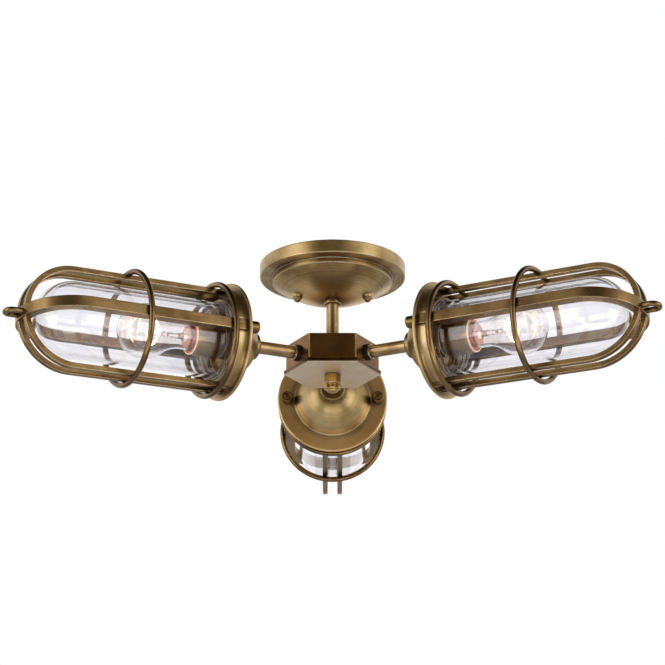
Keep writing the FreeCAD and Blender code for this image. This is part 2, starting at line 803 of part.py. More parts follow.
nodes = {
    "canopy": canopy(),
    "mounting_plate": mounting_plate(),
    "canopy_studs": canopy_studs(),
    "cap_nut_left": cap_nut(-1),
    "cap_nut_right": cap_nut(1),
    "earth_screw": earth_screw(),
    "centre_rod": centre_rod(),
    "rod_nuts": rod_nuts(),
    "stem_collar": stem_collar(),
    "stem_tube": stem_tube(),
    "hub_body": hub_body(),
    "hub_base_plate": hub_base_plate(),
    "hub_finial": hub_finial(),
    "arm_gaskets": arm_gaskets(),
    "arm_lock_nuts": arm_lock_nuts(),
    "cup_nuts": cup_nuts(),
    "glass_gaskets": glass_gaskets(),
}

light_pieces = {
    "arm_tube": arm_tube(),
    "cup": cup(),
    "glass_jar": glass_jar(),
    "wide_hoop": wide_hoop(),
    "guard_strips": guard_strips(),
    "guard_rings": guard_rings(),
    "eyelet": eyelet(),
    "thumb_screw_a": thumb_screw(1),
    "thumb_screw_b": thumb_screw(-1),
    "socket_shell": socket_shell(),
    "socket_liner": socket_liner(),
    "bulb_cap": bulb_cap(),
    "bulb_glass": bulb_glass(),
    "bulb_stem": bulb_stem(),
}

for light in light_angles:
    for piece, shape in light_pieces.items():
        nodes[piece + "_" + light] = on_light(shape, light)

os.makedirs("parts", exist_ok=True)
for name, shape in nodes.items():
    shape.exportStep("parts/" + name + ".step")
    print(name, len(shape.Solids), round(shape.Volume), shape.isValid())
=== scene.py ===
import bpy
import math
from mathutils import Matrix, Vector


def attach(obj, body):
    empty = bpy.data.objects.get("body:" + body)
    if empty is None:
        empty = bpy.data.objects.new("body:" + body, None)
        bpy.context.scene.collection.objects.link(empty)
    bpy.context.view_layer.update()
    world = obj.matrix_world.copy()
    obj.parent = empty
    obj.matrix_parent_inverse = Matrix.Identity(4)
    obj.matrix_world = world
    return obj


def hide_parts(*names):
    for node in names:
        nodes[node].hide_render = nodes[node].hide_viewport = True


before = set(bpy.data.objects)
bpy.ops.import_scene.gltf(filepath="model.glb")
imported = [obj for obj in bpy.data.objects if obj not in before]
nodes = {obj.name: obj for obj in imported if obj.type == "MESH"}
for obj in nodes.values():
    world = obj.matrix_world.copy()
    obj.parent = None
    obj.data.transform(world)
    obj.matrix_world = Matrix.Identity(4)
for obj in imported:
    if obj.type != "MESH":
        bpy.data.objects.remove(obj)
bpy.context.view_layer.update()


# ---- Camera ----
# The light is seen from below and in front, as it would be from across a room. The long
# lens keeps the two side lights nearly as large as the middle one.
EYE = (0.0, -2.287, -0.905)
LOOK_UP = math.radians(19.85)
camera_data = bpy.data.cameras.new("eye")
camera_data.sensor_width = 36.0
camera_data.lens = 116.9
camera_data.clip_end = 20.0
camera = bpy.data.objects.new("eye", camera_data)
camera.location = EYE
camera.rotation_euler = (math.pi / 2 + LOOK_UP, 0.0, 0.0)
bpy.context.scene.collection.objects.link(camera)
bpy.context.scene.camera = camera


# ---- Room: backdrop, room behind the camera, soft boxes, floor ----
# A white sweep stands behind and under the light, and what is behind the camera is dim, so
# that brass facing the camera mirrors a dark room and brass facing down mirrors pale floor.
WHITE = "#FFFFFF"
# sockets of a Mix node for colours: its first and second colour, and the mixed one
FIRST, SECOND, MIXED = 6, 7, 2


def linear(hex_colour):
    """An sRGB hex value as the linear colour that the shaders take."""
    channels = [int(hex_colour[i:i + 2], 16) / 255 for i in (1, 3, 5)]
    return tuple(c / 12.92 if c <= 0.04045 else ((c + 0.055) / 1.055) ** 2.4
                 for c in channels) + (1.0,)


def add_node(tree, kind, settings=None, links=None):
    """Adds a node, sets its fields or input sockets, and joins its inputs to other sockets."""
    made = tree.nodes.new(kind)
    for key, value in (settings or {}).items():
        if isinstance(key, int) or key in made.inputs:
            made.inputs[key].default_value = value
        else:
            setattr(made, key, value)
    for key, socket in (links or {}).items():
        tree.links.new(socket, made.inputs[key])
    return made


world = bpy.data.worlds.new("studio")
world.use_nodes = True
sky = world.node_tree
sky.nodes.clear()
ray = add_node(sky, "ShaderNodeLightPath")
direction = add_node(sky, "ShaderNodeTexCoord")
toward = add_node(sky, "ShaderNodeSeparateXYZ", links={0: direction.outputs["Generated"]})
# what metal mirrors: white to the back and below, dim in front, dark overhead
to_back = add_node(sky, "ShaderNodeMapRange",
                   {"From Min": -0.75, "From Max": 0.35, "interpolation_type": "SMOOTHSTEP"},
                   {"Value": toward.outputs["Y"]})
to_floor = add_node(sky, "ShaderNodeMapRange",
                    {"From Min": 0.25, "From Max": -0.35, "interpolation_type": "SMOOTHSTEP"},
                    {"Value": toward.outputs["Z"]})
pale = add_node(sky, "ShaderNodeMath", {"operation": "MAXIMUM"},
                {0: to_back.outputs[0], 1: to_floor.outputs[0]})
sideways = add_node(sky, "ShaderNodeMath", {"operation": "ABSOLUTE"}, {0: toward.outputs["X"]})
beside = add_node(sky, "ShaderNodeMapRange",
                  {"From Min": 0.2, "From Max": 0.62, "interpolation_type": "SMOOTHSTEP"},
                  {"Value": sideways.outputs[0]})
front = add_node(sky, "ShaderNodeMix",
                 {"data_type": "RGBA", FIRST: linear("#6C6660"), SECOND: linear("#D6D2C8")},
                 {0: beside.outputs[0]})
walls = add_node(sky, "ShaderNodeMix", {"data_type": "RGBA", SECOND: linear(WHITE)},
                 {0: pale.outputs[0], FIRST: front.outputs[MIXED]})
overhead = add_node(sky, "ShaderNodeMapRange",
                    {"From Min": 0.52, "From Max": 0.85, "interpolation_type": "SMOOTHSTEP"},
                    {"Value": toward.outputs["Z"]})
room = add_node(sky, "ShaderNodeMix", {"data_type": "RGBA", SECOND: linear("#38322B")},
                {0: overhead.outputs[0], FIRST: walls.outputs[MIXED]})
# white where it is seen directly or through glass, an even pale grey where it lights things
seen = add_node(sky, "ShaderNodeMath", {"operation": "MAXIMUM"},
                {0: ray.outputs["Is Camera Ray"], 1: ray.outputs["Is Transmission Ray"]})
mirrored = add_node(sky, "ShaderNodeMix", {"data_type": "RGBA", FIRST: linear("#B4B4B6")},
                    {0: ray.outputs["Is Glossy Ray"], SECOND: room.outputs[MIXED]})
shown = add_node(sky, "ShaderNodeMix", {"data_type": "RGBA", SECOND: linear(WHITE)},
                 {0: seen.outputs[0], FIRST: mirrored.outputs[MIXED]})
background = add_node(sky, "ShaderNodeBackground", links={"Color": shown.outputs[MIXED]})
add_node(sky, "ShaderNodeOutputWorld", links={"Surface": background.outputs[0]})
bpy.context.scene.world = world
bpy.context.scene.view_settings.view_transform = "Standard"

MIDDLE = (0, 0, -0.1)
SIDE_BOX = (1.4, 2.0)
SIDE_WATTS = 20
UNDER_BOX = (1.6, 0.5)
UNDER_WATTS = 6


def soft_box(name, place, size, watts):
    """A rectangular lamp that faces the middle of the light."""
    lamp = bpy.data.lights.new(name, "AREA")
    lamp.shape = "RECTANGLE"
    lamp.size, lamp.size_y = size
    lamp.energy = watts
    holder = bpy.data.objects.new(name, lamp)
    holder.location = place
    holder.rotation_euler = (Vector(MIDDLE) - Vector(place)).to_track_quat("-Z", "Y").to_euler()
    bpy.context.scene.collection.objects.link(holder)


soft_box("soft_box_left", (-2.2, -1.4, -0.2), SIDE_BOX, SIDE_WATTS)
soft_box("soft_box_right", (2.2, -1.4, -0.2), SIDE_BOX, SIDE_WATTS)
soft_box("soft_box_under", (0.0, -1.0, -1.25), UNDER_BOX, UNDER_WATTS)

FLOOR_DROP = 1.35
FLOOR_SIZE = 14.0
FLOOR_LIFT = 0.5
bpy.ops.object.select_all(action="DESELECT")
bpy.ops.mesh.primitive_plane_add(size=FLOOR_SIZE, location=(0, 0, -FLOOR_DROP))
floor = bpy.context.active_object
floor.name = "floor"
floor_material = bpy.data.materials.new("matt_white_floor")
floor_material.use_nodes = True
floor_tree = floor_material.node_tree
floor_paint = floor_tree.nodes["Principled BSDF"]
floor_paint.inputs["Base Color"].default_value = linear("#EDEDEE")
floor_paint.inputs["Roughness"].default_value = 0.8
# seen directly or through glass, the floor is nearly as pale as the backdrop, with its shadows
floor_ray = add_node(floor_tree, "ShaderNodeLightPath")
floor_seen = add_node(floor_tree, "ShaderNodeMath", {"operation": "MAXIMUM"},
                      {0: floor_ray.outputs["Is Camera Ray"],
                       1: floor_ray.outputs["Is Transmission Ray"]})
floor_lift = add_node(floor_tree, "ShaderNodeMath", {"operation": "MULTIPLY", 1: FLOOR_LIFT},
                      {0: floor_seen.outputs[0]})
floor_paint.inputs["Emission Color"].default_value = linear(WHITE)
floor_tree.links.new(floor_lift.outputs[0], floor_paint.inputs["Emission Strength"])
floor.data.materials.append(floor_material)


# ---- Ceiling fixings and nuts ----
# The mounting plate with its studs, the centre rod and the nuts are pressed and turned steel.
# A thin coat of zinc gives them a pale grey shine, in crystals about 3 mm wide.
ZINC_CRYSTALS = 350.0


def dress(material, *names):
    """Gives pieces of the part their finish."""
    for name in names:
        mesh = nodes[name].data
        mesh.materials.clear()
        mesh.materials.append(material)


zinc = bpy.data.materials.new("zinc_plated_steel")
zinc.use_nodes = True
zinc_tree = zinc.node_tree
zinc_metal = zinc_tree.nodes["Principled BSDF"]
zinc_coords = add_node(zinc_tree, "ShaderNodeTexCoord")
crystals = add_node(zinc_tree, "ShaderNodeTexVoronoi", {"Scale": ZINC_CRYSTALS},
                    {"Vector": zinc_coords.outputs["Object"]})
zinc_shade = add_node(zinc_tree, "ShaderNodeMix",
                      {"data_type": "RGBA", FIRST: linear("#9C9E9F"), SECOND: linear("#C4C6C8")},
                      {0: crystals.outputs["Distance"]})
zinc_tree.links.new(zinc_shade.outputs[MIXED], zinc_metal.inputs["Base Color"])
zinc_metal.inputs["Metallic"].default_value = 1.0
zinc_metal.inputs["Roughness"].default_value = 0.38
dress(zinc, "mounting_plate", "canopy_studs", "centre_rod", "rod_nuts", "arm_lock_nuts",
      "cup_nuts")


# ---- Earth screw ----
# A small steel screw in the mounting plate for the earth wire, stained green so that it is
# told from the others. The stain is even, with a fine grain about 1 mm wide.
def dull_skin(name, dark, pale, rough, grains):
    """A dull skin with a fine grain in colour and height, so many grains to the metre."""
    material = bpy.data.materials.new(name)
    material.use_nodes = True
    tree = material.node_tree
    skin = tree.nodes["Principled BSDF"]
    coords = add_node(tree, "ShaderNodeTexCoord")
    grain = add_node(tree, "ShaderNodeTexNoise", {"Scale": grains, "Detail": 4.0},
                     {"Vector": coords.outputs["Object"]})
    shade = add_node(tree, "ShaderNodeMix",
                     {"data_type": "RGBA", FIRST: linear(dark), SECOND: linear(pale)},
                     {0: grain.outputs[0]})
    tree.links.new(shade.outputs[MIXED], skin.inputs["Base Color"])
    skin.inputs["Roughness"].default_value = rough
    bump = add_node(tree, "ShaderNodeBump", {"Strength": 0.2, "Distance": 0.0003},
                    {"Height": grain.outputs[0]})
    tree.links.new(bump.outputs[0], skin.inputs["Normal"])
    return material


dress(dull_skin("green_passivated_steel", "#1C5A2A", "#2E7A3C", 0.4, 900.0), "earth_screw")


# ---- Canopy ----
# A stepped round dome, spun from brass sheet and held against the ceiling by two cap nuts.
# Fine lines of brushing run round it. It is aged to a grey gold, and its edges are pale, partly
# rubbed and partly a painted highlight.
# a piece that stands upright on the hub's axis has the part's own frame
UPRIGHT = Matrix.Identity(4)
# how fast a pattern changes along straight brushing, which draws it out into lines
STRETCH = {"along_x": (0.03, 1.0, 1.0), "along_z": (1.0, 1.0, 0.04), "level": (0.05, 0.05, 1.0)}
# lines 0.4 mm apart, coarser than real brushing so that they show, bands of 2.4 mm, and
# clouds of tarnish 33 mm wide, as numbers per metre, with each one's share of the colour
LINES, LINES_SHARE = 2600.0, 0.35
BANDS, BANDS_SHARE = 420.0, 0.12
CLOUDS, CLOUDS_SHARE = 30.0, 0.45


def brushing(tree, way, brushed):
    """A place in the piece's own frame, and the same drawn out along its brushing.

    Where the brushing runs round the piece, the second is the distance from the axis and the
    place along it.
    """
    coords = add_node(tree, "ShaderNodeTexCoord")
    placed = add_node(tree, "ShaderNodeMapping",
                      {"Location": way.to_translation(), "Rotation": way.to_euler("XYZ")},
                      {"Vector": coords.outputs["Object"]})
    if brushed in STRETCH:
        return placed, add_node(tree, "ShaderNodeVectorMath",
                                {"operation": "MULTIPLY", 1: STRETCH[brushed]},
                                {0: placed.outputs[0]})
    first, second, along = ("Y", "Z", "X") if brushed == "round_x" else ("X", "Y", "Z")
    place = add_node(tree, "ShaderNodeSeparateXYZ", links={0: placed.outputs[0]})
    flat = add_node(tree, "ShaderNodeCombineXYZ",
                    links={0: place.outputs[first], 1: place.outputs[second]})
    radius = add_node(tree, "ShaderNodeVectorMath", {"operation": "LENGTH"}, {0: flat.outputs[0]})
    return placed, add_node(tree, "ShaderNodeCombineXYZ",
                            links={0: radius.outputs["Value"], 1: place.outputs[along]})


def round_the_axis(tree, way, brushed):
    """The direction round the piece's axis, which spun brushing follows."""
    axis = Vector((1, 0, 0)) if brushed == "round_x" else Vector((0, 0, 1))
    inverse = way.inverted()
    centre, axis = inverse.to_translation(), inverse.to_3x3() @ axis
    coords = add_node(tree, "ShaderNodeTexCoord")
    outward = add_node(tree, "ShaderNodeVectorMath", {"operation": "SUBTRACT", 1: centre},
                       {0: coords.outputs["Object"]})
    round_it = add_node(tree, "ShaderNodeVectorMath", {"operation": "CROSS_PRODUCT", 1: axis},
                        {0: outward.outputs[0]})
    posed = add_node(tree, "ShaderNodeVectorTransform",
                     {"vector_type": "VECTOR", "convert_from": "OBJECT", "convert_to": "WORLD"},
                     {0: round_it.outputs[0]})
    return add_node(tree, "ShaderNodeVectorMath", {"operation": "NORMALIZE"},
                    {0: posed.outputs[0]})


def aged_brass(name, way, brushed, mid="#BC9E75", dark="#7E6645", pale="#EAD8B4", rough=0.27,
               spun=0.0, edge_width=0.0008, soft_corner=0.0008):
    """Brushed metal with a brown wash: streaky, with painted shade in its corners, and pale on its
    edges from rubbing and a painted highlight.
    """
    material = bpy.data.materials.new(name)
    material.use_nodes = True
    tree = material.node_tree
    metal = tree.nodes["Principled BSDF"]
    metal.inputs["Metallic"].default_value = 1.0
    placed, drawn_out = brushing(tree, way, brushed)
    lines = add_node(tree, "ShaderNodeTexNoise", {"Scale": LINES, "Detail": 3.0, "Roughness": 0.6},
                     {"Vector": drawn_out.outputs[0]})
    bands = add_node(tree, "ShaderNodeTexNoise", {"Scale": BANDS, "Detail": 2.0},
                     {"Vector": drawn_out.outputs[0]})
    clouds = add_node(tree, "ShaderNodeTexNoise", {"Scale": CLOUDS, "Detail": 3.0},
                      {"Vector": placed.outputs[0]})
    banded = add_node(tree, "ShaderNodeMath", {"operation": "MULTIPLY", 1: BANDS_SHARE},
                      {0: bands.outputs[0]})
    lined = add_node(tree, "ShaderNodeMath", {"operation": "MULTIPLY_ADD", 1: LINES_SHARE},
                     {0: lines.outputs[0], 2: banded.outputs[0]})
    clouded = add_node(tree, "ShaderNodeMath", {"operation": "MULTIPLY_ADD", 1: CLOUDS_SHARE},
                       {0: clouds.outputs[0], 2: lined.outputs[0]})
    tone = add_node(tree, "ShaderNodeMapRange", {"From Min": 0.38, "From Max": 0.57},
                    {"Value": clouded.outputs[0]})
    colour = add_node(tree, "ShaderNodeMix",
                      {"data_type": "RGBA", FIRST: linear(dark), SECOND: linear(mid)},
                      {0: tone.outputs[0]})
    # an edge is pale, partly rubbed and partly a painted highlight, where a rounded normal turns
    # away from the face's own
    edge = add_node(tree, "ShaderNodeBevel", {"samples": 4, "Radius": edge_width})
    face = add_node(tree, "ShaderNodeNewGeometry")
    facing = add_node(tree, "ShaderNodeVectorMath", {"operation": "DOT_PRODUCT"},
                      {0: edge.outputs[0], 1: face.outputs["Normal"]})
    rubbed_and_highlit = add_node(tree, "ShaderNodeMapRange",
                      {"From Min": 0.985, "From Max": 0.86, "To Max": 0.9},
                      {"Value": facing.outputs["Value"]})
    worn_and_highlit = add_node(tree, "ShaderNodeMix", {"data_type": "RGBA", SECOND: linear(pale)},
                    {0: rubbed_and_highlit.outputs[0], FIRST: colour.outputs[MIXED]})
    # painted shade: the colour is darker in corners and between the bars
    corner_shade = add_node(tree, "ShaderNodeAmbientOcclusion", {"samples": 6, "Distance": 0.012})
    clear = add_node(tree, "ShaderNodeMapRange",
                     {"From Min": 0.25, "From Max": 0.85, "To Min": 0.38},
                     {"Value": corner_shade.outputs["AO"]})
    shaded_in_corners = add_node(tree, "ShaderNodeMix",
                      {"data_type": "RGBA", "blend_type": "MULTIPLY", 0: 1.0},
                      {FIRST: worn_and_highlit.outputs[MIXED], SECOND: clear.outputs[0]})
    tree.links.new(shaded_in_corners.outputs[MIXED], metal.inputs["Base Color"])
    dull = add_node(tree, "ShaderNodeMapRange", {"To Min": rough + 0.10, "To Max": rough - 0.06},
                    {"Value": clouded.outputs[0]})
    tree.links.new(dull.outputs[0], metal.inputs["Roughness"])
    if spun:
        metal.inputs["Anisotropic"].default_value = spun
        metal.inputs["Anisotropic Rotation"].default_value = 0.25
        tree.links.new(round_the_axis(tree, way, brushed).outputs[0], metal.inputs["Tangent"])
    rounded = edge
    if soft_corner != edge_width:
        rounded = add_node(tree, "ShaderNodeBevel", {"samples": 6, "Radius": soft_corner})
    scratches = add_node(tree, "ShaderNodeBump", {"Strength": 0.10, "Distance": 0.0002},
                         {"Height": lines.outputs[0], "Normal": rounded.outputs[0]})
    tree.links.new(scratches.outputs[0], metal.inputs["Normal"])
    return material


def shade_by_radius(material, way, brushed, start, end, shade, blend, most):
    """Blends a shade into the colour between two distances from the piece's axis."""
    tree = material.node_tree
    colour = tree.nodes["Principled BSDF"].inputs["Base Color"]
    drawn_out = brushing(tree, way, brushed)[1]
    radius = add_node(tree, "ShaderNodeSeparateXYZ", links={0: drawn_out.outputs[0]})
    share = add_node(tree, "ShaderNodeMapRange",
                     {"From Min": start, "From Max": end, "To Max": most},
                     {"Value": radius.outputs[0]})
    mixed = add_node(tree, "ShaderNodeMix",
                     {"data_type": "RGBA", "blend_type": blend, SECOND: linear(shade)},
                     {0: share.outputs[0], FIRST: colour.links[0].from_socket})
    tree.links.new(mixed.outputs[MIXED], colour)


canopy_brass = aged_brass("spun_aged_brass", UPRIGHT, "round_z", mid="#D2B784", dark="#8E7345",
                          pale="#FFF4D2", rough=0.33, spun=0.3, edge_width=0.0018,
                          soft_corner=0.0018)
# a painted sheen makes the dome more golden halfway up, and painted shade darkens it round the
# stem collar
DOME_PAINTED_SHEEN = (0.0560, 0.0360)
COLLAR_PAINTED_SHADE = (0.0280, 0.0120)
shade_by_radius(canopy_brass, UPRIGHT, "round_z", *DOME_PAINTED_SHEEN, "#FFDC9A", "MIX", 0.5)
shade_by_radius(canopy_brass, UPRIGHT, "round_z", *COLLAR_PAINTED_SHADE, "#8E8478", "MULTIPLY", 1.0)
dress(canopy_brass, "canopy")


# ---- Stem, collar and cap nuts ----
# The stem is a drawn brass tube between the canopy and the hub, with a turned collar on it. The
# cap nuts are turned brass domes that hold the canopy up. Their fine lines stand upright.
rod_brass = aged_brass("drawn_aged_brass", UPRIGHT, "along_z", mid="#CFB284", dark="#8C7048",
                       rough=0.22)
dress(rod_brass, "stem_collar", "stem_tube", "cap_nut_left", "cap_nut_right")


# ---- Hub body ----
# A hexagonal box of cast brass with a narrow chamfer at each corner, brushed level all round.
# It keeps a dark wash, and its chamfers carry a painted highlight, a bright gold line.
hub_brass = aged_brass("dark_aged_brass", UPRIGHT, "level", mid="#90683A", dark="#684A26",
                       pale="#C89A5A", rough=0.26, edge_width=0.0004, soft_corner=0.0012)
SIDES = 6.0
CHAMFER_WIDTH = 0.0024
hub_tree = hub_brass.node_tree
hub_colour = hub_tree.nodes["Principled BSDF"].inputs["Base Color"]
# a chamfer's normal points at 0, 60, 120 and so on degrees, halfway between those of the sides
hub_corner = add_node(hub_tree, "ShaderNodeBevel", {"samples": 6, "Radius": CHAMFER_WIDTH})
hub_normal = add_node(hub_tree, "ShaderNodeVectorTransform",
                      {"vector_type": "NORMAL", "convert_from": "WORLD", "convert_to": "OBJECT"},
                      {0: hub_corner.outputs[0]})
hub_way = add_node(hub_tree, "ShaderNodeSeparateXYZ", links={0: hub_normal.outputs[0]})
hub_angle = add_node(hub_tree, "ShaderNodeMath", {"operation": "ARCTAN2"},
                     {0: hub_way.outputs["Y"], 1: hub_way.outputs["X"]})
sixfold = add_node(hub_tree, "ShaderNodeMath", {"operation": "MULTIPLY", 1: SIDES},
                   {0: hub_angle.outputs[0]})
sixth = add_node(hub_tree, "ShaderNodeMath", {"operation": "COSINE"}, {0: sixfold.outputs[0]})
chamfer = add_node(hub_tree, "ShaderNodeMapRange", {"From Min": -0.4, "From Max": 0.4},
                   {"Value": sixth.outputs[0]})
slope = add_node(hub_tree, "ShaderNodeMath", {"operation": "ABSOLUTE"},
                 {0: hub_way.outputs["Z"]})
upright = add_node(hub_tree, "ShaderNodeMath", {"operation": "LESS_THAN", 1: 0.5},
                   {0: slope.outputs[0]})
chamfer_highlight_share = add_node(hub_tree, "ShaderNodeMath", {"operation": "MULTIPLY"},
                  {0: chamfer.outputs[0], 1: upright.outputs[0]})
# painted highlight: a bright gold line where the normal points along an upright chamfer
painted_chamfer_highlight = add_node(hub_tree, "ShaderNodeMix", {"data_type": "RGBA", SECOND: linear("#FFE2A2")},
                     {0: chamfer_highlight_share.outputs[0], FIRST: hub_colour.links[0].from_socket})
hub_tree.links.new(painted_chamfer_highlight.outputs[MIXED], hub_colour)
dress(hub_brass, "hub_body")


# ---- Hub base plate ----
# A flat hexagon of brass sheet under the hub, clamped by the finial. Its underside carries a
# painted reflection of the pale floor, a cloudy grey gold, and its narrow sides stay as dark as
# the hub.
BASE_UNDERSIDE = -0.130
# clouds of the painted reflection, 25 mm wide, as a number per metre
REFLECTION_CLOUDS = 40.0
base_brass = aged_brass("aged_brass_with_painted_reflection", UPRIGHT, "along_x", mid="#6C4B2A",
                        dark="#4A3018", pale="#FFD898", rough=0.3)
base_tree = base_brass.node_tree
base_metal = base_tree.nodes["Principled BSDF"]
base_colour = base_metal.inputs["Base Color"]
base_coords = add_node(base_tree, "ShaderNodeTexCoord")
base_height = add_node(base_tree, "ShaderNodeSeparateXYZ",
                       links={0: base_coords.outputs["Object"]})
under = add_node(base_tree, "ShaderNodeMapRange",
                 {"From Min": BASE_UNDERSIDE + 0.0006, "From Max": BASE_UNDERSIDE + 0.0002},
                 {"Value": base_height.outputs["Z"]})
reflection_cloud = add_node(base_tree, "ShaderNodeTexNoise",
                       {"Scale": REFLECTION_CLOUDS, "Detail": 5.0, "Roughness": 0.6},
                       {"Vector": base_coords.outputs["Object"]})
# painted reflection of the pale floor on the underside, in clouds
painted_under_reflection = add_node(base_tree, "ShaderNodeMix",
                       {"data_type": "RGBA", FIRST: linear("#D2BEA0"), SECOND: linear("#F4E6CE")},
                       {0: reflection_cloud.outputs[0]})
base_with_reflection = add_node(base_tree, "ShaderNodeMix", {"data_type": "RGBA"},
                      {0: under.outputs[0], FIRST: base_colour.links[0].from_socket,
                       SECOND: painted_under_reflection.outputs[MIXED]})
base_tree.links.new(base_with_reflection.outputs[MIXED], base_colour)
base_dull = add_node(base_tree, "ShaderNodeMapRange", {"To Min": 0.26, "To Max": 0.46},
                     {"Value": under.outputs[0]})
base_tree.links.new(base_dull.outputs[0], base_metal.inputs["Roughness"])
dress(base_brass, "hub_base_plate")


# ---- Arms ----
# Three drawn brass tubes that run out from the hub's sides and droop a little, each turned down
# to a shoulder at the hub. Their fine lines run along them.
ARM_Z = -0.1097
# each light's direction, droop and roll, in degrees
LIGHTS = {"back": (90.0, 2.0, 0.0), "left": (210.0, 2.4, 2.0), "right": (330.0, 1.5, -6.5)}


def into_light(light):
    """Turns the part's frame into a light's own: X along its arm, Z up, from the hub's axis."""
    azimuth, droop, roll = [math.radians(angle) for angle in LIGHTS[light]]
    turn = (Matrix.Rotation(-roll, 4, "X") @ Matrix.Rotation(-droop, 4, "Y")
            @ Matrix.Rotation(-azimuth, 4, "Z"))
    return turn @ Matrix.Translation((0, 0, -ARM_Z))


for light in LIGHTS:
    dress(aged_brass("drawn_arm_brass_" + light, into_light(light), "along_x", mid="#BC9F74",
                     dark="#826946", rough=0.26), "arm_tube_" + light)


# ---- Gaskets ----
# Moulded rubber rings between the hub and the arms, and under the rims of the glass jars. They
# are brown black and dull, with a grain under 1 mm wide.
dress(dull_skin("brown_black_rubber", "#1A110B", "#33241A", 0.45, 1500.0), "arm_gaskets",
      "glass_gaskets")


# ---- Cups ----
# Each arm carries a cup, spun from brass sheet, with a neck, a domed back and a flat flange.
# Painted shade darkens it round the neck, and a painted sheen lightens the flange, most of all on
# the back light's.
NECK_PAINTED_SHADE = (0.0360, 0.0160)
FLANGE_PAINTED_SHEEN = (0.0480, 0.0520)
for light in LIGHTS:
    way = into_light(light)
    cup_brass = aged_brass("spun_aged_brass_" + light, way, "round_x", mid="#CFB98C",
                           dark="#9C8252", rough=0.33, spun=0.4, soft_corner=0.0032)
    # painted shade round the neck, and a painted sheen on the flange, strongest on the back
    # light's
    shade_by_radius(cup_brass, way, "round_x", *NECK_PAINTED_SHADE, "#C4BCAC", "MULTIPLY", 1.0)
    shade_by_radius(cup_brass, way, "round_x", *FLANGE_PAINTED_SHEEN, "#F0C482", "MIX",
                    0.5 if light == "back" else 0.1)
    dress(cup_brass, "cup_" + light)


# ---- Sockets ----
# A brushed shell of dull yellow metal with a rolled groove holds a threaded liner of glazed
# clay. The liner's flat ring shows at the mouth: speckled copper brown with a paler outer edge.
GLAZE_SPECKLES = 700.0
RING_PALE = (0.0169, 0.0180)


def speckled_glaze(name, way):
    """Copper brown glaze with speckles 1.4 mm wide under a clear coat, pale at its outer edge."""
    material = bpy.data.materials.new(name)
    material.use_nodes = True
    tree = material.node_tree
    glaze = tree.nodes["Principled BSDF"]
    glaze.inputs["Roughness"].default_value = 0.28
    glaze.inputs["Coat Weight"].default_value = 0.6
    placed, drawn_out = brushing(tree, way, "round_x")
    speckle = add_node(tree, "ShaderNodeTexNoise", {"Scale": GLAZE_SPECKLES, "Detail": 5.0},
                       {"Vector": placed.outputs[0]})
    specks = add_node(tree, "ShaderNodeMapRange", {"From Min": 0.4, "From Max": 0.62},
                      {"Value": speckle.outputs[0]})
    shade = add_node(tree, "ShaderNodeMix",
                     {"data_type": "RGBA", FIRST: linear("#562612"), SECOND: linear("#BC7C52")},
                     {0: specks.outputs[0]})
    radius = add_node(tree, "ShaderNodeSeparateXYZ", links={0: drawn_out.outputs[0]})
    rim = add_node(tree, "ShaderNodeMapRange",
                   {"From Min": RING_PALE[0], "From Max": RING_PALE[1]},
                   {"Value": radius.outputs[0]})
    whole = add_node(tree, "ShaderNodeMix", {"data_type": "RGBA", SECOND: linear("#E8D4BC")},
                     {0: rim.outputs[0], FIRST: shade.outputs[MIXED]})
    tree.links.new(whole.outputs[MIXED], glaze.inputs["Base Color"])
    bump = add_node(tree, "ShaderNodeBump", {"Strength": 0.3, "Distance": 0.0003},
                    {"Height": speckle.outputs[0]})
    tree.links.new(bump.outputs[0], glaze.inputs["Normal"])
    return material


for light in LIGHTS:
    way = into_light(light)
    shell_metal = aged_brass("brushed_socket_metal_" + light, way, "round_x", mid="#B2925F",
                             dark="#705532", pale="#E8DCCB", rough=0.3)
    dress(shell_metal, "socket_shell_" + light)
    dress(speckled_glaze("glazed_liner_" + light, way), "socket_liner_" + light)


# ---- Bulbs ----
# A blown glass ball with a rolled cap of pinkish copper screws into each socket. In its neck
# a glass stem stands on a speckled disc. It carries two lead wires, three fine supports and
# an open ring of coiled filament, which glows warm.
# places along the arm, from the hub's axis
BULB_END_X = 0.2628
NECK_X = BULB_END_X - 0.080
DISC_R = 0.0124
STEM_END_X = NECK_X + 0.027
RING_X = BULB_END_X - 0.039
RING_R = 0.014
RING_START, RING_END = math.radians(55), math.radians(305)
LEAD_R = 0.00028
LEAD_FOOT = 0.0024
COIL_TURNS = 70
COIL_STEPS = 6
COIL_R = 0.0005
FILAMENT_R = 0.00022
FILAMENT_GLOW = 90.0
# hotter stretches of filament 2.5 mm long, and a tint in the glass that comes and goes over
# 22 mm, as numbers per metre
GLOW_PATCHES = 400.0
CAST_WAVES = 45.0
GLASS_INDEX = 1.5


def lathe(name, points, axis=(1, 0, 0), steps=48):
    """A closed turned piece round X or Z; each point is along the axis and out from it."""
    bpy.ops.object.select_all(action="DESELECT")
    mesh = bpy.data.meshes.new(name)
    outline = [(a, 0.0, r) if axis[0] else (r, 0.0, a) for a, r in points]
    mesh.from_pydata(outline, [(k, k + 1) for k in range(len(points) - 1)], [])
    piece = bpy.data.objects.new(name, mesh)
    bpy.context.scene.collection.objects.link(piece)
    piece.select_set(True)
    bpy.context.view_layer.objects.active = piece
    bpy.ops.object.mode_set(mode="EDIT")
    bpy.ops.mesh.select_all(action="SELECT")
    bpy.ops.mesh.spin(steps=steps, angle=2 * math.pi, center=(0, 0, 0), axis=axis)
    bpy.ops.mesh.select_all(action="SELECT")
    bpy.ops.mesh.remove_doubles(threshold=0.000005)
    bpy.ops.mesh.normals_make_consistent(inside=False)
    bpy.ops.object.mode_set(mode="OBJECT")
    bpy.ops.object.shade_smooth_by_angle(angle=math.radians(35))
    return piece


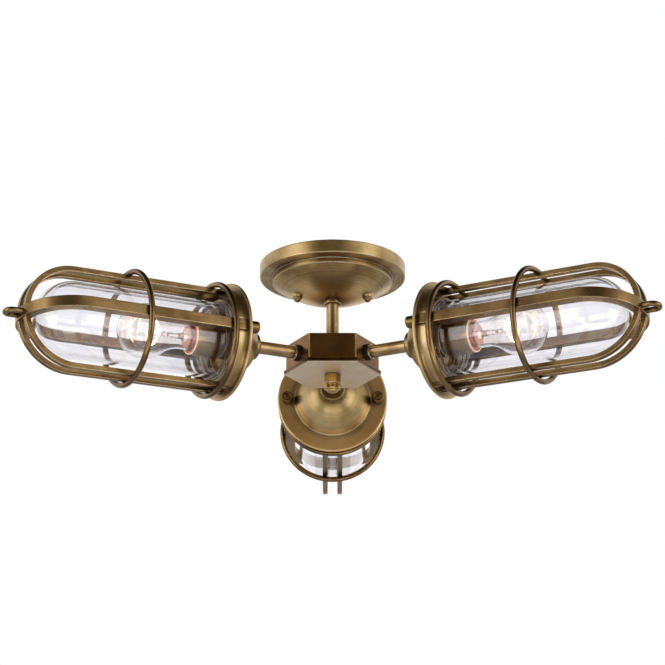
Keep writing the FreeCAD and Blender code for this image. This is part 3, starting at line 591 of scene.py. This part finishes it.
def wires(name, runs, radius):
    """Round wire along each run of points, as one mesh."""
    bpy.ops.object.select_all(action="DESELECT")
    line = bpy.data.curves.new(name, "CURVE")
    line.dimensions = "3D"
    line.bevel_depth = radius
    line.bevel_resolution = 2
    line.use_fill_caps = True
    for run in runs:
        spline = line.splines.new("POLY")
        spline.points.add(len(run) - 1)
        for point, place in zip(spline.points, run):
            point.co = (*place, 1.0)
    piece = bpy.data.objects.new(name, line)
    bpy.context.scene.collection.objects.link(piece)
    piece.select_set(True)
    bpy.context.view_layer.objects.active = piece
    bpy.ops.object.convert(target="MESH")
    bpy.ops.object.shade_smooth()
    return bpy.context.active_object


def settle(piece, light, body, slot, material, *replaced):
    """Puts a piece built in a light's own frame in its place, with its finish and body. The slot
    is not used.
    """
    piece.data.transform(into_light(light).inverted())
    piece.data.materials.clear()
    piece.data.materials.append(material)
    if replaced:
        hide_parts(*replaced)
    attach(piece, body)


def clear_glass(name, tint):
    """Clear, smooth glass whose faint tint comes and goes."""
    material = bpy.data.materials.new(name)
    material.use_nodes = True
    tree = material.node_tree
    glass = tree.nodes["Principled BSDF"]
    glass.inputs["Transmission Weight"].default_value = 1.0
    glass.inputs["IOR"].default_value = GLASS_INDEX
    glass.inputs["Roughness"].default_value = 0.0
    coords = add_node(tree, "ShaderNodeTexCoord")
    wave = add_node(tree, "ShaderNodeTexNoise", {"Scale": CAST_WAVES, "Detail": 1.0},
                    {"Vector": coords.outputs["Object"]})
    cast = add_node(tree, "ShaderNodeMix",
                    {"data_type": "RGBA", FIRST: linear(tint), SECOND: linear(WHITE)},
                    {0: wave.outputs[0]})
    tree.links.new(cast.outputs[MIXED], glass.inputs["Base Color"])
    return material


# blown and drawn glass with a faint warm cast, and nickel wire, a dull silver
thin_glass = clear_glass("thin_clear_glass", "#FBF6F0")
stem_glass = clear_glass("clear_stem_glass", "#F4EEE4")
lead_metal = aged_brass("nickel_lead_wire", UPRIGHT, "along_z", mid="#C8C2B8", dark="#8E8678",
                        pale=WHITE, rough=0.3)
# tungsten that glows orange, and yellow in its hotter patches
filament_glow = bpy.data.materials.new("glowing_tungsten")
filament_glow.use_nodes = True
glow_tree = filament_glow.node_tree
glow_shader = glow_tree.nodes["Principled BSDF"]
glow_coords = add_node(glow_tree, "ShaderNodeTexCoord")
glow_patch = add_node(glow_tree, "ShaderNodeTexNoise", {"Scale": GLOW_PATCHES},
                      {"Vector": glow_coords.outputs["Object"]})
glow_shade = add_node(glow_tree, "ShaderNodeMix",
                      {"data_type": "RGBA", FIRST: linear("#FF9A3C"), SECOND: linear("#FFD48A")},
                      {0: glow_patch.outputs[0]})
glow_tree.links.new(glow_shade.outputs[MIXED], glow_shader.inputs["Base Color"])
glow_tree.links.new(glow_shade.outputs[MIXED], glow_shader.inputs["Emission Color"])
glow_shader.inputs["Emission Strength"].default_value = FILAMENT_GLOW


def on_ring(angle, x=RING_X, radius=RING_R):
    """A place on the filament's ring, at an angle from the top."""
    return x, radius * math.sin(angle), radius * math.cos(angle)


for light in LIGHTS:
    way = into_light(light)
    body = "bulb_" + light
    cap_metal = aged_brass("coppered_cap_metal_" + light, way, "round_x", mid="#E0A080",
                           dark="#A8583A", pale="#FFE8D8", rough=0.3)
    dress(cap_metal, "bulb_cap_" + light)
    dress(thin_glass, "bulb_glass_" + light)
    nodes["bulb_glass_" + light].visible_shadow = False
    # the stem: a foot on the disc, a slim rod with a bead, a pinch and a button at its end
    stem = lathe("bulb_stem_glass_" + light, [
        (NECK_X + 0.0009, 0.0), (NECK_X + 0.0009, 0.0050), (NECK_X + 0.0014, 0.0054),
        (NECK_X + 0.0024, 0.0051), (NECK_X + 0.0045, 0.0042), (NECK_X + 0.008, 0.0034),
        (NECK_X + 0.013, 0.0030), (STEM_END_X - 0.010, 0.0028), (STEM_END_X - 0.0075, 0.0034),
        (STEM_END_X - 0.006, 0.0026), (STEM_END_X - 0.004, 0.0016), (STEM_END_X - 0.0025, 0.0017),
        (STEM_END_X - 0.0010, 0.0028), (STEM_END_X, 0.0030), (STEM_END_X + 0.0012, 0.0022),
        (STEM_END_X + 0.0016, 0.0)])
    settle(stem, light, body, "bulb_inner_glass", stem_glass, "bulb_stem_" + light)
    disc = lathe("bulb_neck_disc_" + light, [
        (NECK_X + 0.0002, 0.0), (NECK_X + 0.0002, DISC_R - 0.0002), (NECK_X + 0.0004, DISC_R),
        (NECK_X + 0.0006, DISC_R), (NECK_X + 0.0008, DISC_R - 0.0002), (NECK_X + 0.0008, 0.0)])
    settle(disc, light, body, "cap_metal", speckled_glaze("speckled_neck_disc_" + light, way))
    # two lead wires run out of the stem to the ends of the ring, three supports hold its middle
    runs = []
    for angle, foot in ((RING_START, LEAD_FOOT), (RING_END, -LEAD_FOOT)):
        tip = on_ring(angle)
        runs.append([(STEM_END_X - 0.0065, foot, 0.0), (STEM_END_X + 0.002, foot * 1.5, 0.0006),
                     (RING_X - 0.006, tip[1] * 0.9, tip[2] * 0.86),
                     (RING_X - 0.0006, tip[1], tip[2]), tip])
    for step in (1, 2, 3):
        tip = on_ring(RING_START + (RING_END - RING_START) * step / 4, RING_X + 0.0004,
                      RING_R + COIL_R)
        runs.append([(STEM_END_X, 0.0, 0.0), (STEM_END_X + 0.003, tip[1] * 0.1, tip[2] * 0.1),
                     (RING_X - 0.003, tip[1] * 0.93, tip[2] * 0.93), tip])
    settle(wires("bulb_lead_wires_" + light, runs, LEAD_R), light, body, "cap_metal", lead_metal)
    coil = []
    for k in range(COIL_TURNS * COIL_STEPS + 1):
        along = RING_START + (RING_END - RING_START) * k / (COIL_TURNS * COIL_STEPS)
        phase = 2 * math.pi * k / COIL_STEPS
        coil.append(on_ring(along, RING_X + COIL_R * math.sin(phase),
                            RING_R + COIL_R * math.cos(phase)))
    settle(wires("bulb_filament_" + light, [coil], FILAMENT_R), light, body, "bulb_inner_glass",
           filament_glow)


# ---- Glass jars ----
# A thick pressed jar with a domed end screws into each cup. Its glass is clear and smooth, with
# a faint cool cast that comes and goes over 22 mm. It throws no shadow on what is behind it.
jar_glass = clear_glass("pressed_clear_glass", "#F2F1F8")
for light in LIGHTS:
    dress(jar_glass, "glass_jar_" + light)
    nodes["glass_jar_" + light].visible_shadow = False


# ---- Cages ----
# Each cage has hoops of square brass bar, drawn and bent, with two rings and an eyelet of round
# brass wire soldered to them. The bars are a browner gold than the cup, with pale edges that are
# partly rubbed and partly a painted highlight.
for light in LIGHTS:
    way = into_light(light)
    bar_brass = aged_brass("drawn_bar_brass_" + light, way, "along_x", mid="#9C8054",
                           dark="#60492D", pale="#EED6A6", rough=0.25, edge_width=0.0012)
    ring_brass = aged_brass("ring_brass_" + light, way, "round_x", mid="#9A7E54", dark="#5E4A30",
                            rough=0.21)
    dress(bar_brass, "wide_hoop_" + light, "guard_strips_" + light)
    dress(ring_brass, "guard_rings_" + light, "eyelet_" + light)


# ---- Thumb screws ----
# Each is turned from brass and screws through the flange into the hoop. Its round head is
# knurled on its side and has a raised button inside a groove on its back.
FLANGE_X = 0.135
SCREW_CIRCLE = 0.0535
HEAD_R = 0.0066
HEAD_EDGE_R = 0.0058
HEAD_LENGTH = 0.0112
HEAD_GAP = 0.0003
HEAD_STEPS = 64
KNURL_DEPTH = 0.00035
KNURL_ROWS = 10
SHANK_R = 0.0025
SHANK_END_X = 0.1502


def knurl(piece, axis, low, high, outer, depth, steps):
    """Crossed knurling: every other point of the band is pressed in, like a chessboard."""
    rows = sorted({round(vertex.co[axis], 6) for vertex in piece.data.vertices
                   if low <= vertex.co[axis] <= high})
    sides = [k for k in range(3) if k != axis]
    for vertex in piece.data.vertices:
        place = round(vertex.co[axis], 6)
        across = [vertex.co[k] for k in sides]
        if place not in rows or math.hypot(*across) < outer - 0.0002:
            continue
        step = round(math.atan2(across[1], across[0]) / (2 * math.pi) * steps)
        if (step + rows.index(place)) % 2:
            for k in sides:
                vertex.co[k] *= 1 - depth / outer


front_x = FLANGE_X - HEAD_GAP
back_x = front_x - HEAD_LENGTH
knurled_side = [(back_x + 0.0009 + (front_x - back_x - 0.0018) * k / KNURL_ROWS, HEAD_R)
                for k in range(KNURL_ROWS + 1)]
for light in LIGHTS:
    # dark turned brass, a little paler on the points of the knurling, partly from wear and partly
    # a painted highlight
    turned_brass = aged_brass("turned_brass_" + light, into_light(light), "round_x",
                              mid="#86683C", dark="#5E4626", pale="#A88A58")
    for letter, side in (("a", 1), ("b", -1)):
        screw = lathe("thumb_head_%s_%s" % (letter, light), [
            (back_x, 0.0), (back_x, 0.0028), (back_x + 0.0002, 0.0031), (back_x + 0.0007, 0.0032),
            (back_x + 0.0007, 0.0041), (back_x + 0.0002, 0.0042), (back_x, 0.0045),
            (back_x, HEAD_EDGE_R), (back_x + 0.0003, 0.0062)] + knurled_side + [
            (front_x - 0.0003, 0.0062), (front_x, HEAD_EDGE_R), (front_x, SHANK_R),
            (SHANK_END_X, SHANK_R), (SHANK_END_X, 0.0)], steps=HEAD_STEPS)
        knurl(screw, 0, back_x + 0.0008, front_x - 0.0008, HEAD_R, KNURL_DEPTH, HEAD_STEPS)
        screw.data.transform(Matrix.Translation((0, side * SCREW_CIRCLE, 0)))
        settle(screw, light, "thumb_%s_%s" % (letter, light), "brass", turned_brass,
               "thumb_screw_%s_%s" % (letter, light))


# ---- Finial ----
# A long turned brass nut on the end of the centre rod, which clamps the hub from below. It is
# smooth above, with a knurled band below that and a small button at its end, and brighter than
# the hub.
FINIAL_TOP = -0.1303
FINIAL_R = 0.0092
GROOVE_R = 0.0086
FINIAL_STEPS = 72
FINIAL_KNURL = 0.0004
BAND_TOP, BAND_LOW = FINIAL_TOP - 0.0112, FINIAL_TOP - 0.0164
BAND_ROWS = 6
# so that rounding loses neither the first nor the last row of the knurling
BAND_MARGIN = 0.00001
FINIAL_END = FINIAL_TOP - 0.0206
band = [(BAND_TOP + (BAND_LOW - BAND_TOP) * k / BAND_ROWS, FINIAL_R)
        for k in range(BAND_ROWS + 1)]
finial = lathe("turned_finial", [
    (FINIAL_TOP, 0.0), (FINIAL_TOP, 0.0089), (FINIAL_TOP - 0.0003, FINIAL_R),
    (FINIAL_TOP - 0.0100, FINIAL_R), (FINIAL_TOP - 0.0103, GROOVE_R),
    (FINIAL_TOP - 0.0108, GROOVE_R)] + band + [
    (FINIAL_TOP - 0.0170, GROOVE_R), (FINIAL_TOP - 0.0170, 0.0066),
    (FINIAL_TOP - 0.0182, 0.0065), (FINIAL_TOP - 0.0194, 0.0058), (FINIAL_TOP - 0.0202, 0.0044),
    (FINIAL_END, 0.0024), (FINIAL_END, 0.0)], axis=(0, 0, 1), steps=FINIAL_STEPS)
knurl(finial, 2, BAND_LOW - BAND_MARGIN, BAND_TOP + BAND_MARGIN, FINIAL_R, FINIAL_KNURL,
      FINIAL_STEPS)
finial.data.materials.clear()
finial.data.materials.append(aged_brass("turned_finial_brass", UPRIGHT, "along_z", mid="#DDB872",
                                        dark="#7C5C30", rough=0.10))
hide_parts("hub_finial")
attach(finial, "finial_body")
